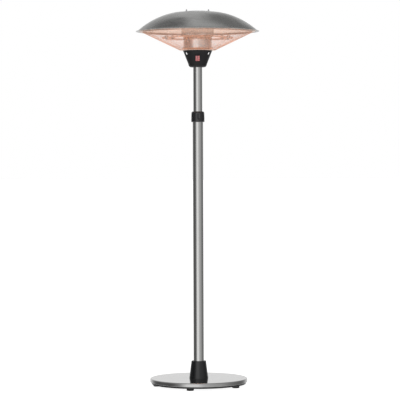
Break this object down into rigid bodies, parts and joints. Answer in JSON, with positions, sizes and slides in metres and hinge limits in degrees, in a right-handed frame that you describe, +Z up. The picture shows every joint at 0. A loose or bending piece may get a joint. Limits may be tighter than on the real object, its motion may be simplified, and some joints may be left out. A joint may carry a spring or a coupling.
{
  "type": "outdoor heater",
  "caption": "Free-standing electric patio heater: round weighted base, telescopic steel pole with a twist-lock collar, switch hub, and a domed head with ring lamps behind a conical mesh guard.",
  "frame": {"origin": "on the floor, on the pole's axis, at the bottom centre of the object", "axes": "+Z up along the pole; -Y is the front, where the switches are; +X is to the right as seen from the front"},
  "size_m": [0.6, 0.6, 1.832],
  "materials": {
    "rubber": "matte",
    "black_plastic": "satin",
    "black_paint": "satin",
    "ballast_stone": "matte",
    "base_steel": "satin",
    "pole_steel": "satin",
    "head_steel": "satin",
    "polished_reflector": "polished",
    "guard_mesh": "satin",
    "zinc_hardware": "satin",
    "white_nylon": "satin",
    "cable_black": "satin",
    "red_rocker": "gloss",
    "lead_sleeve": "matte",
    "ceramic_white": "matte",
    "quartz": "gloss",
    "glowing_coil": "matte"
  },
  "bodies": {
    "stand": {"rubber_feet": "rubber", "foot_screws": "zinc_hardware", "bottom_plate": "black_paint", "ballast": "ballast_stone", "base_cover": "base_steel", "pole_socket": "zinc_hardware", "socket_bolts": "zinc_hardware", "socket_nuts": "zinc_hardware", "pole_screws": "zinc_hardware", "pole_boot": "black_plastic", "cable_gland": "black_plastic", "lower_pole": "pole_steel", "top_bush": "white_nylon", "collar_sleeve": "black_plastic", "collet": "white_nylon", "cable_inlet": "cable_black", "cable_coil": "cable_black"},
    "collar": {"lock_collar": "black_plastic"},
    "slider": {"pole_guide": "white_nylon"},
    "head": {"upper_pole": "pole_steel", "cable_riser": "cable_black", "hub_housing": "black_plastic", "hub_socket": "zinc_hardware", "hub_screws": "zinc_hardware", "neck_screws": "zinc_hardware", "wiring_box": "black_plastic", "hub_lid": "zinc_hardware", "lid_screws": "zinc_hardware", "switch_housing": "black_plastic", "terminal_block": "ceramic_white", "tilt_switch": "black_plastic", "wiring_harness": "lead_sleeve", "thermal_cutout": "zinc_hardware", "guard_dish": "polished_reflector", "mesh_guard": "guard_mesh", "guard_top_ring": "head_steel", "guard_rivets": "zinc_hardware", "drum_base": "polished_reflector", "drum_lower": "polished_reflector", "drum_upper": "polished_reflector", "lamp_brackets": "zinc_hardware", "lamp_tube_outer": "quartz", "lamp_tube_inner": "quartz", "filament_outer": "glowing_coil", "filament_inner": "glowing_coil", "lamp_caps": "ceramic_white", "lamp_leads": "lead_sleeve", "dome_liner": "polished_reflector", "dome": "head_steel", "top_cap": "head_steel", "tie_rods": "zinc_hardware", "rod_nuts": "zinc_hardware"},
    "rocker_left": {"rocker_left": "red_rocker"},
    "rocker_right": {"rocker_right": "red_rocker"}
  },
  "joints": [
    {"name": "collar_twist", "type": "hinge", "parent": "stand", "child": "collar", "pos_m": [0, 0, 1.311], "axis": [0, 0, 1], "range_deg": [0, 90]},
    {"name": "pole_extend", "type": "slide", "parent": "stand", "child": "slider", "axis": [0, 0, 1], "range_m": [-0.2, 0.28], "deforming": ["cable_coil"]},
    {"name": "head_turn", "type": "hinge", "parent": "slider", "child": "head", "pos_m": [0, 0, 0.894], "axis": [0, 0, 1], "range_deg": [-175, 175]},
    {"name": "rocker_left_press", "type": "hinge", "parent": "head", "child": "rocker_left", "pos_m": [-0.0051, -0.05629, 1.59278], "axis": [1, 0, 0], "range_deg": [0, 16]},
    {"name": "rocker_right_press", "type": "hinge", "parent": "head", "child": "rocker_right", "pos_m": [0.0051, -0.05629, 1.59278], "axis": [1, 0, 0], "range_deg": [0, 16]}
  ]
}
